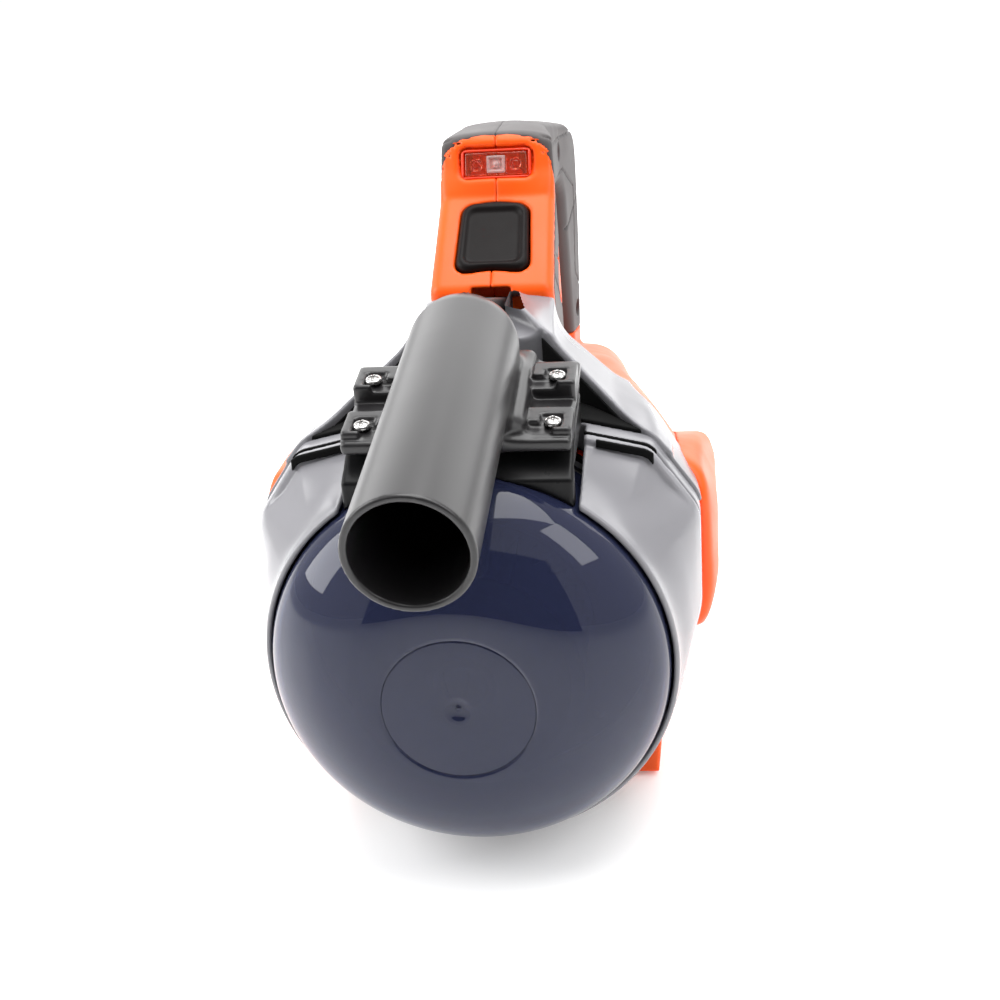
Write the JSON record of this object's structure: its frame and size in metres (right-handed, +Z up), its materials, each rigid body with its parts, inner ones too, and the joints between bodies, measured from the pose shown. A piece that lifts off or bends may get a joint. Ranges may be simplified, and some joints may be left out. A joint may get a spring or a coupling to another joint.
{
  "type": "cordless handheld vacuum",
  "caption": "Cordless handheld vacuum: smoky dust cup with a round intake tube, motor body on feet, loop handle with work light and release button, slide-in battery pack.",
  "frame": {"origin": "middle of the foot-print, on the surface that the object stands on", "axes": "+Z up, +Y from the intake tube towards the battery, +X to the viewer's right when the intake tube is seen from the front"},
  "size_m": [0.1668, 0.38, 0.2194],
  "materials": {
    "smoky_plastic": "clear smoky moulding, polished",
    "orange_plastic": "moulded, fine satin texture",
    "grey_gloss": "polished",
    "dark_gloss": "polished",
    "charcoal_plastic": "moulded, fine matt texture",
    "grey_rubber": "soft overmould, matt",
    "black_rubber": "matt",
    "steel": "bright zinc plated",
    "clear_lens": "clear, polished",
    "filter_paper": "pleated filter paper",
    "inner_plastic": "moulded, plain",
    "board": "solder resist",
    "cell_wrap": "heat-shrink sleeve",
    "magnet": "sintered, ground",
    "brass": "tin-free contact metal",
    "lead_wire": "wire insulation"
  },
  "bodies": {
    "housing": {"front_collar": "grey_gloss", "mid_ring": "grey_gloss", "bulkhead": "inner_plastic", "housing_left": "orange_plastic", "housing_right": "orange_plastic", "base_tray": "charcoal_plastic", "side_bumper_left": "orange_plastic", "side_bumper_right": "orange_plastic", "exhaust_grille_left": "inner_plastic", "exhaust_grille_right": "inner_plastic", "neck_fairing": "grey_gloss", "front_feet": "orange_plastic", "rear_feet": "charcoal_plastic", "foot_pads": "black_rubber", "housing_screws": "steel", "grip_skin_left": "grey_rubber", "grip_skin_right": "grey_rubber", "side_inserts": "orange_plastic", "light_bezel": "orange_plastic", "light_lens": "clear_lens", "light_board": "board", "lens_pips": "clear_lens", "release_spring": "steel", "latch_pin": "steel", "trigger_pin": "steel", "trigger_spring": "steel", "power_switch": "inner_plastic", "fan_shroud": "inner_plastic", "motor_can": "steel", "motor_magnets": "magnet", "motor_bearings": "steel", "motor_end_cap": "inner_plastic", "circuit_board": "board", "terminal_block": "brass", "battery_bay": "inner_plastic", "leads": "lead_wire"},
    "dust_cup": {"dust_bowl": "smoky_plastic", "bowl_seal": "black_rubber", "saddle_block": "charcoal_plastic", "inlet_duct": "dark_gloss", "duct_gasket": "black_rubber", "duct_screws": "steel", "flap_pin": "steel"},
    "inlet_flap": {"inlet_flap": "black_rubber"},
    "filter": {"filter_cage": "inner_plastic", "filter_pleats": "filter_paper", "filter_cap": "inner_plastic", "filter_seal": "black_rubber"},
    "release_button": {"release_button": "charcoal_plastic"},
    "latch": {"latch_lever": "inner_plastic"},
    "power_trigger": {"power_trigger": "charcoal_plastic"},
    "rotor": {"impeller": "inner_plastic", "rotor": "steel", "shaft_nut": "steel"},
    "battery": {"battery_case": "charcoal_plastic", "battery_cover": "charcoal_plastic", "battery_cells": "cell_wrap", "battery_board": "board"},
    "battery_latch_left": {"battery_latch_left": "orange_plastic"},
    "battery_latch_right": {"battery_latch_right": "orange_plastic"}
  },
  "joints": [
    {"name": "dust_cup_slide", "type": "slide", "parent": "housing", "child": "dust_cup", "axis": [0, -1, 0], "range_m": [0, 0.14]},
    {"name": "inlet_flap_hinge", "type": "hinge", "parent": "dust_cup", "child": "inlet_flap", "pos_m": [0, -0.0984, 0.135], "axis": [-1, 0, 0], "range_deg": [0, 45], "stiffness_Nm_per_rad": 0.002, "springref_deg": -28.65},
    {"name": "filter_slide", "type": "slide", "parent": "housing", "child": "filter", "axis": [0, -1, 0], "range_m": [0, 0.064]},
    {"name": "release_button_press", "type": "slide", "parent": "housing", "child": "release_button", "axis": [0, 0.6004, -0.7997], "range_m": [0, 0.003], "stiffness_N_per_m": 800, "springref_m": -0.003, "deforming": ["release_spring"]},
    {"name": "latch_pivot", "type": "hinge", "parent": "housing", "child": "latch", "pos_m": [0, 0.015, 0.159], "axis": [-1, 0, 0], "range_deg": [0, 9.1]},
    {"name": "power_trigger_hinge", "type": "hinge", "parent": "housing", "child": "power_trigger", "pos_m": [0, 0.059, 0.189], "axis": [1, 0, 0], "range_deg": [0, 7], "stiffness_Nm_per_rad": 0.6, "springref_deg": -5.73, "deforming": ["trigger_spring"]},
    {"name": "rotor_spin", "type": "hinge", "parent": "housing", "child": "rotor", "pos_m": [0, 0, 0.075], "axis": [0, 1, 0], "continuous": true},
    {"name": "battery_slide", "type": "slide", "parent": "housing", "child": "battery", "axis": [0, 1, 0], "range_m": [0, 0.12]},
    {"name": "battery_latch_left_press", "type": "slide", "parent": "battery", "child": "battery_latch_left", "axis": [1, 0, 0], "range_m": [0, 0.0025], "stiffness_N_per_m": 800, "springref_m": -0.002},
    {"name": "battery_latch_right_press", "type": "slide", "parent": "battery", "child": "battery_latch_right", "axis": [-1, 0, 0], "range_m": [0, 0.0025], "stiffness_N_per_m": 800, "springref_m": -0.002}
  ],
  "couplings": [
    {"joint": "filter_slide", "follows": "dust_cup_slide", "ratio": 0.45},
    {"joint": "latch_pivot", "follows": "release_button_press", "rad_per_m": 52.4}
  ]
}
